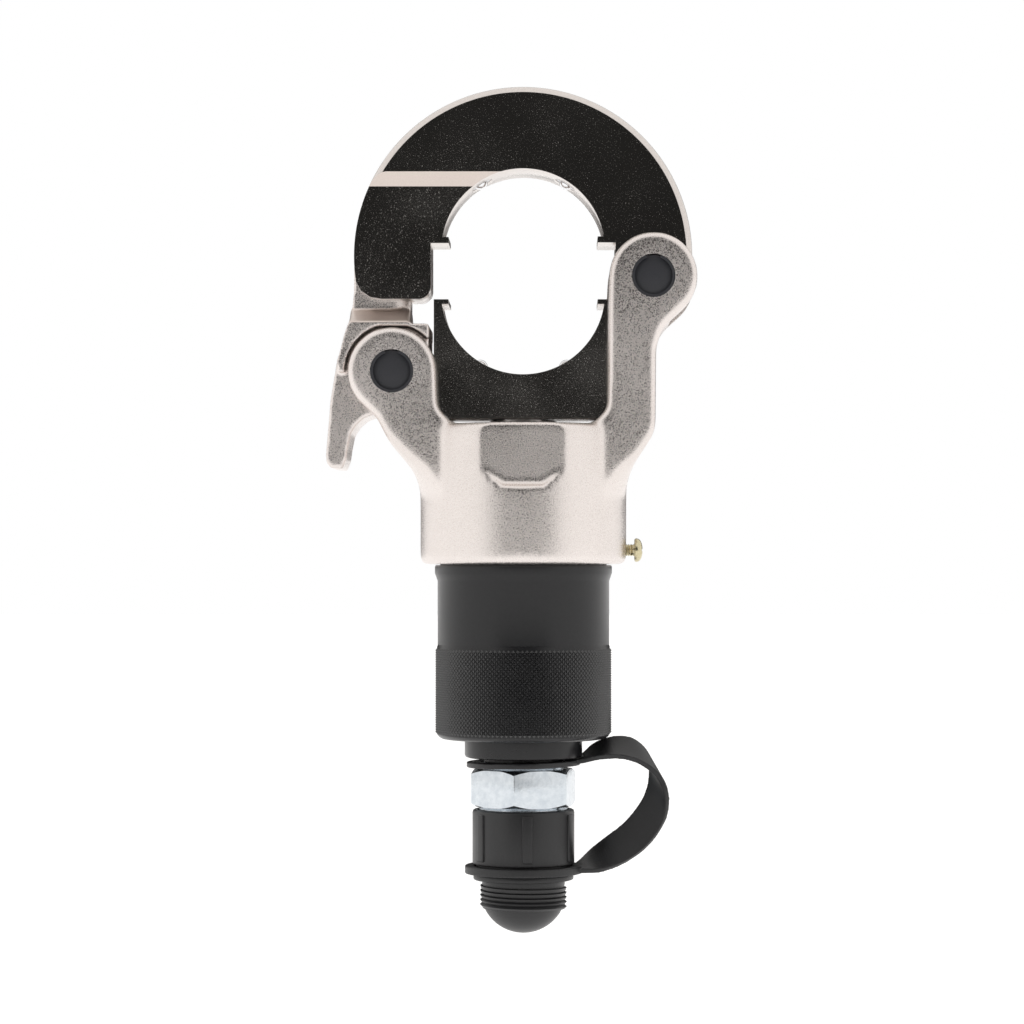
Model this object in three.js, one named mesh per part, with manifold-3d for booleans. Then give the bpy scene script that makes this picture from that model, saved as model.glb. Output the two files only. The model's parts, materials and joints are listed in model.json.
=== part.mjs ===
// Remote hydraulic crimping head with a flip-top C-jaw, drawn in millimetres.
// +Z runs up the cylinder axis, +X to the hinge side, the front faces -Y.
// Z = 0 is the free end face of the hydraulic coupler, on the cylinder axis.

import * as THREE from 'three';
import Module from 'manifold-3d';
import { mergeVertices } from 'three/addons/utils/BufferGeometryUtils.js';

// ---------------------------------------------------------------- dimensions

const GAP = 0.3; // running clearance between neighbouring pieces

// Jaws
const JAW_HALF = 13; // half thickness of both jaws
const DIE_R = 27; // radius of the die seats
const LIP_X = 24.6; // half distance between the lip tips
const HEAD_R = 55.8; // outside radius of the C-jaw
const HEAD_Z = 198.5; // centre height of the outside radius
const UPPER_ARC_Z = 200.2; // centre height of the upper die seat
const UPPER_LIP_Z = 202.8; // underside of the upper lips
const LIP_T = 2;
const TONGUE_X = 30.5; // inner edge of the tongue
const TONGUE_Z = 184.4; // underside of the tongue
const TONGUE_HALF = 11; // half thickness of the thinned tongue
const TONGUE_SLOT = 7.3; // half width of the slot for the latch blade
const LOWER_ARC_Z = 186.4; // centre height of the lower die seat
const LOWER_TOP_Z = 184.1;
const LOWER_LIP_Z = 182.5;
const LOWER_BASE_Z = 144.9;
const LOWER_X = 29.4; // half width of the lower jaw

// Pivots
const HINGE = [42.8, 191.2];
const LATCH = [-42.8, 160];
const PIN_R = 7;
const PIN_HALF = 20.5;
const BORE_R = PIN_R + 0.1; // running fit on both pins
const BOSS_R = 14.5;
const LUG_R = 13.2;
const EAR_HALF = 22; // outside half width of the fork
const SLOT_HALF = JAW_HALF + GAP; // half width of the fork slot
const SWING_R = 15.5; // room around each pivot inside the fork

// Fork body
const COLLAR_R = 34.3;
const COLLAR_Z = 96.8; // lower face of the collar
const COLLAR_BORE_R = 28;
const WEB_Z = 124; // underside of the web over the cylinder
const FLOOR_Z = 143; // floor of the fork
const PAD_Y = 31.5; // flat pads, front and rear
const PAD_Z = 127.7;

// Cylinder and ram
const BARREL_BORE_R = 23;
const BARREL_BORE_Z = 46;
const BARREL_BASE_Z = 38.7;
const HUB_R = 19.6;
const HUB_Z = 32.5;
const PORT_R = 9;
const PISTON_R = 22.6;
const ROD_R = 11.8;
const ROD_TOP_Z = 144.6;
const SPRING_R = 17.5;
const SPRING_WIRE = 3.2;

// Coupler and cap
const HEX_AF = 32;
const HEX_TURN = -9.2; // degrees, one corner from the front
const THREAD_R = 14;
const CAP_R = 17;
const CAP_BORE_R = 14.3;
const STRAP_T = 1.8;
const EYE_R = 18.9;

// Spring-loaded die detents
const DETENT_ANGLE = 31; // degrees either side of the vertical
const BALL_R = 2.4;
const BALL_AT = 27.8; // ball centre from the arc centre
const SLEEVE_R = 3.5;

// -------------------------------------------------------------------- finish

const finish = (color, metalness, roughness) =>
  new THREE.MeshStandardMaterial({ color, metalness, roughness });

const NICKEL = finish(0xd9cfc8, 1, 0.42);
const MIRROR_NICKEL = finish(0xb9b2a6, 1, 0.14);
const BLACK_STEEL = finish(0x29292b, 0.7, 0.45);
const BLACK_ANODISE = finish(0x1b1c1e, 0.6, 0.42);
const ZINC = finish(0xc3cad0, 1, 0.28);
const YELLOW_ZINC = finish(0xb9aa7c, 1, 0.35);
const BLACK_PLASTIC = finish(0x191a1b, 0, 0.5);
const BLACK_RUBBER = finish(0x151516, 0, 0.75);
const STEEL = finish(0xa5a6a8, 1, 0.3);
const SPRING_STEEL = finish(0x6c6d70, 1, 0.35);
const BRONZE = finish(0xa87b45, 1, 0.4);
const CHROME = finish(0xd6d8da, 1, 0.1);
const WHITE_PTFE = finish(0xdcd9d0, 0, 0.55);

// ------------------------------------------------------------------- helpers

const wasm = await Module();
wasm.setup();

// Six times the signed volume, to find which way the faces look.
function signedVolume(position, index) {
  const a = new THREE.Vector3();
  const b = new THREE.Vector3();
  const c = new THREE.Vector3();
  let sum = 0;
  for (let i = 0; i < index.length; i += 3) {
    a.fromBufferAttribute(position, index[i]);
    b.fromBufferAttribute(position, index[i + 1]);
    c.fromBufferAttribute(position, index[i + 2]);
    sum += a.dot(b.cross(c));
  }
  return sum;
}

// Welds the corners, drops empty faces and turns the faces outwards.
function closed(geometry) {
  const bare = new THREE.BufferGeometry();
  bare.setAttribute('position', geometry.attributes.position.clone());
  if (geometry.index) bare.setIndex(geometry.index.clone());
  const welded = mergeVertices(bare, 1e-4);
  const source = welded.index.array;
  let index = [];
  for (let i = 0; i < source.length; i += 3) {
    const [a, b, c] = [source[i], source[i + 1], source[i + 2]];
    if (a !== b && b !== c && c !== a) index.push(a, b, c);
  }
  if (signedVolume(welded.attributes.position, index) < 0) index = index.reverse();
  welded.setIndex(index);
  return welded;
}

function solid(geometry) {
  const g = closed(geometry);
  return new wasm.Manifold(
    new wasm.Mesh({
      numProp: 3,
      vertProperties: new Float32Array(g.attributes.position.array),
      triVerts: new Uint32Array(g.index.array),
    }),
  );
}

function geometryOf(body) {
  const mesh = body.getMesh();
  const g = new THREE.BufferGeometry();
  g.setAttribute('position', new THREE.BufferAttribute(new Float32Array(mesh.vertProperties), 3));
  g.setIndex(new THREE.BufferAttribute(new Uint32Array(mesh.triVerts), 1));
  g.computeVertexNormals();
  return g;
}

const minus = (body, ...tools) => tools.reduce((left, tool) => left.subtract(tool), body);
const plus = (body, ...more) => more.reduce((left, other) => left.add(other), body);

// A turned piece on the Z axis. Points are [radius, z].
function turnedGeometry(points, segments = 24) {
  const list = points.map(([r, z]) => new THREE.Vector2(r, z));
  const onAxis = points[0][0] === 0 && points[points.length - 1][0] === 0;
  if (!onAxis) list.push(list[0].clone());
  return new THREE.LatheGeometry(list, segments).rotateX(Math.PI / 2);
}

const turned = (points, segments) => solid(turnedGeometry(points, segments));

// A turned piece on an axis along Y through (x, z). Points are [radius, y].
function turnedY(points, x, z, segments = 24) {
  const list = points.map(([r, y]) => new THREE.Vector2(r, y));
  const onAxis = points[0][0] === 0 && points[points.length - 1][0] === 0;
  if (!onAxis) list.push(list[0].clone());
  return solid(new THREE.LatheGeometry(list, segments).translate(x, 0, z));
}

function block(x0, x1, y0, y1, z0, z1) {
  const g = new THREE.BoxGeometry(x1 - x0, y1 - y0, z1 - z0);
  return solid(g.translate((x0 + x1) / 2, (y0 + y1) / 2, (z0 + z1) / 2));
}

function shapeOf(points) {
  return new THREE.Shape(points.map(([u, v]) => new THREE.Vector2(u, v)));
}

// A plate in the XZ plane between y0 and y1.
function plate(shape, y0, y1, bevel = 0) {
  const outline = Array.isArray(shape) ? shapeOf(shape) : shape;
  const g = new THREE.ExtrudeGeometry(outline, {
    depth: y1 - y0 - 2 * bevel,
    bevelEnabled: bevel > 0,
    bevelThickness: bevel,
    bevelSize: bevel,
    bevelOffset: -bevel,
    bevelSegments: 1,
    curveSegments: 12,
  });
  return solid(g.rotateX(Math.PI / 2).translate(0, y1 - bevel, 0));
}

// A bar in the YZ plane between x0 and x1.
function bar(points, x0, x1) {
  const g = new THREE.ExtrudeGeometry(shapeOf(points), { depth: x1 - x0, bevelEnabled: false });
  const turn = new THREE.Matrix4().set(0, 0, 1, x0, 1, 0, 0, 0, 0, 1, 0, 0, 0, 0, 0, 1);
  return solid(g.applyMatrix4(turn));
}

function rodZ(r, x, y, z0, z1, segments = 28) {
  const g = new THREE.CylinderGeometry(r, r, z1 - z0, segments);
  return solid(g.rotateX(Math.PI / 2).translate(x, y, (z0 + z1) / 2));
}

function rodY(r, x, z, y0, y1, segments = 24) {
  const g = new THREE.CylinderGeometry(r, r, y1 - y0, segments);
  return solid(g.translate(x, (y0 + y1) / 2, z));
}

function rodX(r, z, x0, x1, segments = 20) {
  const g = new THREE.CylinderGeometry(r, r, x1 - x0, segments);
  return solid(g.rotateZ(Math.PI / 2).translate((x0 + x1) / 2, 0, z));
}

// Skins a row of equal rings and closes both ends.
function loft(rings) {
  const sides = rings[0].length;
  const index = [];
  for (let i = 0; i < rings.length - 1; i += 1) {
    for (let k = 0; k < sides; k += 1) {
      const a = i * sides + k;
      const b = i * sides + ((k + 1) % sides);
      index.push(a, b, a + sides, b, b + sides, a + sides);
    }
  }
  const last = (rings.length - 1) * sides;
  for (let k = 1; k < sides - 1; k += 1) {
    index.push(0, k + 1, k, last, last + k, last + k + 1);
  }
  const g = new THREE.BufferGeometry().setFromPoints(rings.flat());
  g.setIndex(index);
  return g;
}

// A round-wire coil on the Z axis.
function coil(meanR, wire, z0, z1, turns, perTurn, sides) {
  const rings = [];
  const count = Math.round(turns * perTurn);
  const low = z0 + wire / 2;
  const rise = z1 - z0 - wire;
  const slope = rise / (turns * 2 * Math.PI * meanR);
  for (let i = 0; i <= count; i += 1) {
    const angle = (i / perTurn) * 2 * Math.PI;
    const out = new THREE.Vector3(Math.cos(angle), Math.sin(angle), 0);
    const along = new THREE.Vector3(-Math.sin(angle), Math.cos(angle), slope).normalize();
    const up = new THREE.Vector3().crossVectors(out, along).normalize();
    const centre = out.clone().multiplyScalar(meanR).setZ(low + (rise * i) / count);
    const ring = [];
    for (let k = 0; k < sides; k += 1) {
      const t = ((k + 0.5) / sides) * 2 * Math.PI;
      const p = centre.clone().addScaledVector(out, (Math.cos(t) * wire) / 2);
      ring.push(p.addScaledVector(up, (Math.sin(t) * wire) / 2));
    }
    rings.push(ring);
  }
  return loft(rings);
}

// Adds one named piece. A solid or a plain geometry is accepted.
const model = new THREE.Group();
model.name = 'crimping_head';

function piece(name, body, material) {
  const geometry = body.isBufferGeometry ? closed(body) : geometryOf(body);
  if (body.isBufferGeometry) geometry.computeVertexNormals();
  const mesh = new THREE.Mesh(geometry, material);
  mesh.name = name;
  model.add(mesh);
}

const degrees = (d) => (d * Math.PI) / 180;

// Moves a geometry built along +Z from the arc centre out along a radius of a die seat.
// The angle is from straight up, towards +X.
function onRadius(geometry, arcZ, angle) {
  return geometry.rotateY(degrees(angle)).translate(0, 0, arcZ);
}

// ----------------------------------------------------------------- fork body

function forkOutline() {
  const s = new THREE.Shape();
  s.moveTo(-34.3, 112);
  s.lineTo(-34.5, 123);
  s.lineTo(-35.8, 126.8);
  s.lineTo(-38.8, 130.8);
  s.lineTo(-43.8, 136.8);
  s.lineTo(-47.8, 144.8);
  s.lineTo(-52.7, 149.4);
  s.absarc(LATCH[0], LATCH[1], BOSS_R, degrees(226.8), 0, true);
  s.lineTo(-27.7, 152);
  s.lineTo(-27.7, 148);
  s.lineTo(-23, FLOOR_Z);
  s.lineTo(23, FLOOR_Z);
  s.lineTo(27.7, 148);
  s.lineTo(27.7, 183);
  s.absarc(HINGE[0], HINGE[1], BOSS_R, degrees(180), degrees(-44.3), true);
  s.lineTo(47.5, 176);
  s.lineTo(45.5, 173.2);
  s.lineTo(43.5, 169);
  s.lineTo(43.5, 142);
  s.lineTo(42.5, 138.8);
  s.lineTo(39.9, 134.8);
  s.lineTo(37.2, 130.8);
  s.lineTo(35.2, 126.8);
  s.lineTo(34.3, 123);
  s.lineTo(34.3, 112);
  return s;
}

function yokeBody() {
  const collar = turned(
    [
      [0, COLLAR_Z],
      [33.4, COLLAR_Z],
      [COLLAR_R, 97.7],
      [COLLAR_R, 141.6],
      [33, FLOOR_Z],
      [0, FLOOR_Z],
    ],
    40,
  );
  const shed = turned(
    [
      [0, 112],
      [33, 112],
      [34.2, 120],
      [38.5, 127],
      [44.5, 133],
      [49.6, 139],
      [76, 160],
      [76, 212],
      [0, 212],
    ],
    40,
  );
  const arms = plate(forkOutline(), -EAR_HALF, EAR_HALF, 2.6).intersect(shed);
  const padCut = (side) =>
    bar(
      [
        [side * PAD_Y, PAD_Z],
        [side * 34.6, 122.2],
        [side * 40, 122.2],
        [side * 40, 150],
        [side * PAD_Y, 150],
      ],
      -20,
      20,
    );
  const grooves = [HINGE, LATCH].flatMap(([x, z]) => [
    rodY(BORE_R, x, z, -30, 30),
    rodY(BORE_R + 0.6, x, z, -21.9, -20.7),
    rodY(BORE_R + 0.6, x, z, 20.7, 21.9),
  ]);
  return minus(
    plus(collar, arms),
    padCut(1),
    padCut(-1),
    turned(
      [
        [0, 90],
        [29, 90],
        [29, 96.9],
        [COLLAR_BORE_R, 97.9],
        [COLLAR_BORE_R, WEB_Z],
        [14.3, WEB_Z],
        [14.3, 150],
        [0, 150],
      ],
      32,
    ),
    block(-29.8, 29.8, -SLOT_HALF, SLOT_HALF, FLOOR_Z, 220),
    rodY(SWING_R, HINGE[0], HINGE[1], -SLOT_HALF, SLOT_HALF, 28),
    rodY(SWING_R, LATCH[0], LATCH[1], -SLOT_HALF, SLOT_HALF, 28),
    block(-70, -39.5, -SLOT_HALF, SLOT_HALF, 139.5, 160),
    rodX(2.3, 101.5, 20, 40, 16),
    ...grooves,
  );
}

piece('yoke_body', yokeBody(), NICKEL);

// ---------------------------------------------------------------------- jaws

const detentBore = (arcZ, angle) =>
  solid(
    onRadius(
      new THREE.CylinderGeometry(3.8, 3.8, 10.4, 20).rotateX(Math.PI / 2).translate(0, 0, 31.2),
      arcZ,
      angle,
    ),
  );

function upperJaw() {
  const edge = 1.8;
  const disc = turnedY(
    [
      [0, -JAW_HALF],
      [HEAD_R - edge, -JAW_HALF],
      [HEAD_R, -JAW_HALF + edge],
      [HEAD_R, JAW_HALF - edge],
      [HEAD_R - edge, JAW_HALF],
      [0, JAW_HALF],
    ],
    0,
    HEAD_Z,
    64,
  );
  const keep = plate(
    [
      [-80, 193],
      [-56.5, 193],
      [-54.7, 188.6],
      [-51.5, 185.6],
      [-47.5, TONGUE_Z],
      [-34.5, TONGUE_Z],
      [-32.2, 185.2],
      [-30.9, 186.8],
      [-TONGUE_X, 188.8],
      [-TONGUE_X, UPPER_LIP_Z],
      [TONGUE_X, UPPER_LIP_Z],
      [TONGUE_X, HINGE[1]],
      [80, HINGE[1]],
      [80, 270],
      [-80, 270],
    ],
    -20,
    20,
  );
  const lug = turnedY(
    [
      [0, -JAW_HALF],
      [LUG_R - 1, -JAW_HALF],
      [LUG_R, -JAW_HALF + 1],
      [LUG_R, JAW_HALF - 1],
      [LUG_R - 1, JAW_HALF],
      [0, JAW_HALF],
    ],
    HINGE[0],
    HINGE[1],
    36,
  ).subtract(block(20, TONGUE_X, -20, 20, 170, UPPER_LIP_Z));
  const thin = (side) =>
    bar(
      [
        [side * TONGUE_HALF, 170],
        [side * 20, 170],
        [side * 20, 226.2],
        [side * JAW_HALF, 226.2],
        [side * TONGUE_HALF, 221.5],
      ],
      -70,
      -4,
    );
  const seat = plus(
    rodY(DIE_R, 0, UPPER_ARC_Z, -20, 20, 56).intersect(
      block(-40, 40, -20, 20, UPPER_LIP_Z + LIP_T, 240),
    ),
    block(-LIP_X, LIP_X, -20, 20, 190, UPPER_LIP_Z + LIP_T),
  );
  const slot = plus(
    block(-70, -43.6, -TONGUE_SLOT, TONGUE_SLOT, 180, 206),
    rodZ(TONGUE_SLOT, -43.6, 0, 180, 206),
  );
  return minus(
    plus(disc.intersect(keep), lug),
    thin(1),
    thin(-1),
    seat,
    slot,
    rodY(BORE_R, HINGE[0], HINGE[1], -20, 20),
    detentBore(UPPER_ARC_Z, DETENT_ANGLE),
    detentBore(UPPER_ARC_Z, -DETENT_ANGLE),
  );
}

function lowerJaw() {
  const outline = [
    [-LOWER_X + 5, LOWER_BASE_Z],
    [LOWER_X - 5, LOWER_BASE_Z],
    [LOWER_X, LOWER_BASE_Z + 5],
    [LOWER_X, LOWER_TOP_Z],
    [-LOWER_X, LOWER_TOP_Z],
    [-LOWER_X, LOWER_BASE_Z + 5],
  ];
  const seat = plus(
    rodY(DIE_R, 0, LOWER_ARC_Z, -20, 20, 56).intersect(
      block(-40, 40, -20, 20, 150, LOWER_LIP_Z),
    ),
    block(-LIP_X, LIP_X, -20, 20, LOWER_LIP_Z, 195),
  );
  return minus(
    plate(outline, -JAW_HALF, JAW_HALF),
    seat,
    rodZ(4.3, 0, 0, 140, 170, 20),
    rodZ(6.9, 0, 0, 150.3, 170, 28),
    detentBore(LOWER_ARC_Z, 180 - DETENT_ANGLE),
    detentBore(LOWER_ARC_Z, 180 + DETENT_ANGLE),
  );
}

piece('upper_jaw', upperJaw(), MIRROR_NICKEL);
piece('lower_jaw', lowerJaw(), MIRROR_NICKEL);

// ----------------------------------------------------------- pins and clips

function pin([x, z]) {
  return turnedY(
    [
      [0, -PIN_HALF],
      [PIN_R - 0.5, -PIN_HALF],
      [PIN_R, -PIN_HALF + 0.5],
      [PIN_R, PIN_HALF - 0.5],
      [PIN_R - 0.5, PIN_HALF],
      [0, PIN_HALF],
    ],
    x,
    z,
  );
}

// An open clip with a 40 degree gap, sprung into its groove.
function clip([x, z], y) {
  const s = new THREE.Shape();
  s.absarc(x, z, 7.6, degrees(110), degrees(430), false);
  s.absarc(x, z, 6.2, degrees(430), degrees(110), true);
  return plate(s, y, y + 0.8);
}

piece('hinge_pin', pin(HINGE), BLACK_STEEL);
piece('latch_pin', pin(LATCH), BLACK_STEEL);
piece('hinge_clip_front', clip(HINGE, -21.7), SPRING_STEEL);
piece('hinge_clip_rear', clip(HINGE, 20.9), SPRING_STEEL);
piece('latch_clip_front', clip(LATCH, -21.7), SPRING_STEEL);
piece('latch_clip_rear', clip(LATCH, 20.9), SPRING_STEEL);

// --------------------------------------------------------------------- latch

function latchLever() {
  const [px, pz] = LATCH;
  const s = new THREE.Shape();
  s.moveTo(-30.8, 175.9);
  s.lineTo(-57.4, 176);
  s.lineTo(-58.6, 172.8);
  s.lineTo(-60.1, 166.8);
  s.lineTo(-61.5, 162.8);
  s.lineTo(-62.5, 156.8);
  s.lineTo(-63.5, 150.8);
  s.lineTo(-64.1, 143.2);
  s.lineTo(-65, 132.8);
  s.lineTo(-64.8, 130.4);
  s.lineTo(-63.4, 128.5);
  s.lineTo(-59.5, 128.2);
  s.lineTo(-58.3, 131.2);
  s.lineTo(-57.8, 134.8);
  s.lineTo(-56.8, 139.8);
  s.lineTo(-54.8, 142.8);
  s.lineTo(-52.5, 144.8);
  s.lineTo(-49.1, 146.2);
  s.absarc(px, pz, 13, degrees(-103), degrees(-30), false);
  s.lineTo(-30.8, 162);
  const core = plate(s, -12.7, 12.7, 0.8);
  const shoulder = plate(
    [
      [-30.8, 160],
      [-30.8, 175.9],
      [-57.4, 176],
      [-58.6, 172.8],
      [-60.1, 166.8],
      [-61.2, 163.4],
      [-60.6, 160],
    ],
    -16.5,
    16.5,
    0.8,
  );
  const ramp = bar(
    [
      [-16.5, 175],
      [16.5, 175],
      [16.5, 176.6],
      [7, 181],
      [-7, 181],
      [-16.5, 176.6],
    ],
    -57.2,
    -37.2,
  );
  const blade = plus(
    plate(
      [
        [-44, 172],
        [-44, 203],
        [-56, 203],
        [-56.1, 186.8],
        [-57, 178.8],
        [-57.4, 172],
      ],
      -7,
      7,
    ),
    rodZ(7, -44, 0, 172, 203),
  );
  const clear = (y0, y1) => rodY(15.8, px, pz, y0, y1, 28);
  return minus(
    plus(core, minus(shoulder, clear(12.7, 20), clear(-20, -12.7)), ramp, blade),
    rodY(BORE_R, px, pz, -20, 20),
    rodY(10.6, px, pz, 8.2, 20, 20),
  );
}

piece('latch_lever', latchLever(), NICKEL);
piece(
  'latch_spring',
  coil(9, 1.1, -2, 2, 2, 14, 5)
    .rotateX(-Math.PI / 2)
    .translate(LATCH[0], 10.5, LATCH[1]),
  SPRING_STEEL,
);

// ----------------------------------------------------------------------- ram

function ramBody() {
  const outside = turned(
    [
      [0, 46.6],
      [21.4, 46.6],
      [PISTON_R, 47.8],
      [PISTON_R, 48.8],
      [19.4, 48.8],
      [19.4, 53.2],
      [PISTON_R, 53.2],
      [PISTON_R, 57.4],
      [22, 58],
      [ROD_R, 58],
      [ROD_R, ROD_TOP_Z - 1],
      [ROD_R - 1, ROD_TOP_Z],
      [0, ROD_TOP_Z],
    ],
    32,
  );
  return outside.subtract(rodZ(4.3, 0, 0, 129, 150, 20));
}

const ring = (inner, outer, z0, z1, segments = 24) =>
  turnedGeometry(
    [
      [inner, z0],
      [outer, z0],
      [outer, z1],
      [inner, z1],
    ],
    segments,
  );

piece('ram', ramBody(), CHROME);
piece('piston_seal', ring(19.7, 22.75, 49.1, 51.3), BLACK_RUBBER);
piece('piston_backup_ring', ring(19.7, 22.7, 51.6, 52.9), WHITE_PTFE);
piece('rod_bush', ring(12.1, 14, WEB_Z + GAP, 141), BRONZE);
piece(
  'rod_wiper',
  turnedGeometry([
    [12.1, 141.3],
    [14, 141.3],
    [14, 143],
    [12.6, 143],
  ]),
  BLACK_RUBBER,
);
piece('return_spring', coil(SPRING_R, SPRING_WIRE, 58.3, 123.7, 7, 12, 5), SPRING_STEEL);
piece(
  'jaw_screw',
  turned(
    [
      [0, 130],
      [3.2, 130],
      [3.9, 130.7],
      [3.9, 150.6],
      [6.1, 150.6],
      [6.5, 151],
      [6.5, 158],
      [5.9, 158.6],
      [0, 158.6],
    ],
    18,
  ).subtract(solid(new THREE.CylinderGeometry(3.46, 3.46, 8, 6).rotateX(Math.PI / 2).translate(0, 0, 158.6))),
  BLACK_STEEL,
);

// ------------------------------------------------------------------ cylinder

piece(
  'cylinder_barrel',
  turnedGeometry(
    [
      [PORT_R, HUB_Z],
      [18.8, HUB_Z],
      [HUB_R, HUB_Z + 0.8],
      [HUB_R, BARREL_BASE_Z],
      [26.6, BARREL_BASE_Z],
      [28.6, 39.6],
      [29.4, 41.5],
      [29.4, 68.2],
      [28.6, 69.6],
      [28.6, 91.5],
      [29.5, 93.8],
      [29.5, 96.1],
      [29.1, 96.5],
      [27.7, 96.5],
      [27.7, 122.9],
      [26.9, 123.7],
      [BARREL_BORE_R + 0.8, 123.7],
      [BARREL_BORE_R, 122.9],
      [BARREL_BORE_R, BARREL_BORE_Z],
      [PORT_R, BARREL_BORE_Z],
    ],
    36,
  ),
  BLACK_ANODISE,
);

piece(
  'lock_screw',
  plus(
    solid(
      new THREE.LatheGeometry(
        [
          [0, 28.3],
          [1.5, 28.3],
          [2, 28.8],
          [2, 37],
          [3.6, 37],
          [3.95, 37.6],
          [3.6, 38.7],
          [2.4, 39.5],
          [0, 39.7],
        ].map(([r, x]) => new THREE.Vector2(r, x)),
        18,
      )
        .rotateZ(-Math.PI / 2)
        .translate(0, 0, 101.5),
    ),
  )
    .subtract(block(38.2, 41, -2.2, 2.2, 101.1, 101.9))
    .subtract(block(38.2, 41, -0.4, 0.4, 99.3, 103.7)),
  YELLOW_ZINC,
);

// ------------------------------------------------------------------- coupler

function couplerBody() {
  const corner = HEX_AF / 2 / Math.cos(Math.PI / 6);
  const hexBar = new THREE.CylinderGeometry(
    corner,
    corner,
    12.6,
    6,
    1,
    false,
    degrees(HEX_TURN),
  ).rotateX(Math.PI / 2);
  const rounding = turned(
    [
      [0, 16.2],
      [16, 16.2],
      [18.5, 17.6],
      [18.5, 27.4],
      [16, 28.8],
      [0, 28.8],
    ],
    24,
  );
  const hex = solid(hexBar.translate(0, 0, 22.5)).intersect(rounding);
  const outside = turned(
    [
      [0, 0],
      [9, 0],
      [9.5, 0.5],
      [9.5, 1],
      [13.2, 1],
      [THREAD_R, 1.8],
      [THREAD_R, 13.4],
      [13.2, 14.2],
      [14.7, 14.6],
      [14.7, 16.4],
      [13.5, 16.4],
      [13.5, 30.9],
      [8.7, 30.9],
      [8.7, 43.4],
      [8.1, 44],
      [0, 44],
    ],
    28,
  );
  return minus(
    plus(outside, hex),
    turned(
      [
        [0, -1],
        [8, -1],
        [8, 3],
        [6, 3],
        [6, 24.3],
        [3.2, 24.3],
        [3.2, 46],
        [0, 46],
      ],
      20,
    ),
  );
}

piece('coupler_body', couplerBody(), ZINC);
piece('coupler_seal_washer', ring(9, 13.2, 31.2, 32.2), BLACK_RUBBER);
piece(
  'coupler_seat_ring',
  turnedGeometry(
    [
      [4, 0.3],
      [7.2, 0.3],
      [7.7, 0.8],
      [7.7, 2.7],
      [5.2, 2.7],
      [4, 1.9],
    ],
    18,
  ),
  BRONZE,
);
piece(
  'coupler_poppet',
  turnedGeometry(
    [
      [0, 0.5],
      [2.6, 0.5],
      [3.2, 1],
      [3.2, 2.2],
      [4.4, 3],
      [5.6, 3.4],
      [5.6, 6],
      [2.2, 6],
      [2.2, 18],
      [1.8, 18.4],
      [0, 18.4],
    ],
    16,
  ),
  STEEL,
);
piece('coupler_poppet_spring', coil(3.8, 1, 6.3, 24, 4.5, 8, 4), SPRING_STEEL);

// ------------------------------------------------------------------ dust cap

function dustCap() {
  const outside = turned(
    [
      [0, -26],
      [3.6, -25.5],
      [6.9, -24.3],
      [9.6, -22.6],
      [11.8, -20.2],
      [13, -17.8],
      [14.5, -17.2],
      [14.5, -10.4],
      [13.8, -9.8],
      [13.8, -8.2],
      [16.3, -8.2],
      [16.7, -7.8],
      [16.7, -6.2],
      [15.8, -6.2],
      [15.8, -3],
      [16.6, -3],
      [CAP_R, -2.5],
      [CAP_R, 14.4],
      [16.3, 15.2],
      [0, 15.2],
    ],
    32,
  );
  const ribs = [0, 1, 2, 3, 4, 5].map((k) =>
    solid(
      new THREE.BoxGeometry(3.4, 1.6, 16)
        .translate(0, -16.7, 6.4)
        .rotateZ(degrees(5 + 60 * k)),
    ),
  );
  const cavity = turned(
    [
      [0, -20],
      [9.4, -20],
      [10.5, -18.9],
      [10.5, -0.9],
      [CAP_BORE_R, -0.9],
      [CAP_BORE_R, 13.4],
      [15.2, 13.9],
      [15.2, 18],
      [0, 18],
    ],
    24,
  );
  return plus(outside, ...ribs).subtract(cavity);
}

piece('dust_cap', dustCap(), BLACK_PLASTIC);
piece('dust_cap_seal', ring(10, 14, -0.6, 0.7), BLACK_RUBBER);

// --------------------------------------------------------------------- strap

// Front and rear edges of the band's middle surface, from the neck eye to the cap eye.
const BAND = [
  [[14.5, -6, 31.2], [14.5, 6, 31.2]],
  [[19.5, -6, 31.6], [19, 6, 32.2]],
  [[26, -5.2, 32.7], [24, 5.6, 36.4]],
  [[33, -4.6, 32.7], [30, 5, 38.6]],
  [[39, -4.2, 30.8], [35.5, 4.4, 38.4]],
  [[44, -3.8, 27.3], [39.5, 4, 35.6]],
  [[47, -3.4, 22.8], [42, 3.4, 31]],
  [[48, -3.2, 17.5], [42.3, 3.2, 26]],
  [[47, -2.8, 11.8], [41, 2.8, 20.5]],
  [[43.5, -2.6, 5.8], [37.7, 2.6, 14.8]],
  [[38.5, -2.6, 0.8], [33, 2.8, 9.6]],
  [[32.2, -3, -3], [28, 3.6, 5.6]],
  [[25.5, -4, -5], [23, 5.6, 1.2]],
  [[20.5, -5, -5], [19.5, 7, -2.6]],
  [[16, -6, -4.7], [15, 7.5, -4.7]],
];

function strapBand() {
  const front = new THREE.CatmullRomCurve3(BAND.map(([f]) => new THREE.Vector3(...f)));
  const rear = new THREE.CatmullRomCurve3(BAND.map(([, r]) => new THREE.Vector3(...r)));
  const steps = 28;
  const sections = [];
  for (let i = 0; i <= steps; i += 1) {
    const t = i / steps;
    const f = front.getPoint(t);
    const r = rear.getPoint(t);
    const ahead = front.getTangent(t).add(rear.getTangent(t)).normalize();
    const across = r.clone().sub(f).normalize();
    const out = new THREE.Vector3().crossVectors(across, ahead).normalize();
    const lift = out.multiplyScalar(STRAP_T / 2);
    sections.push([f.clone().add(lift), r.clone().add(lift), r.clone().sub(lift), f.clone().sub(lift)]);
  }
  const band = solid(loft(sections));
  return minus(
    band,
    rodZ(EYE_R + GAP, 0, 0, 24, 34, 36),
    rodZ(HUB_R + GAP, 0, 0, 32.2, 42, 36),
    rodZ(19.8, 0, 0, -12, 0.5, 36),
  );
}

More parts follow.
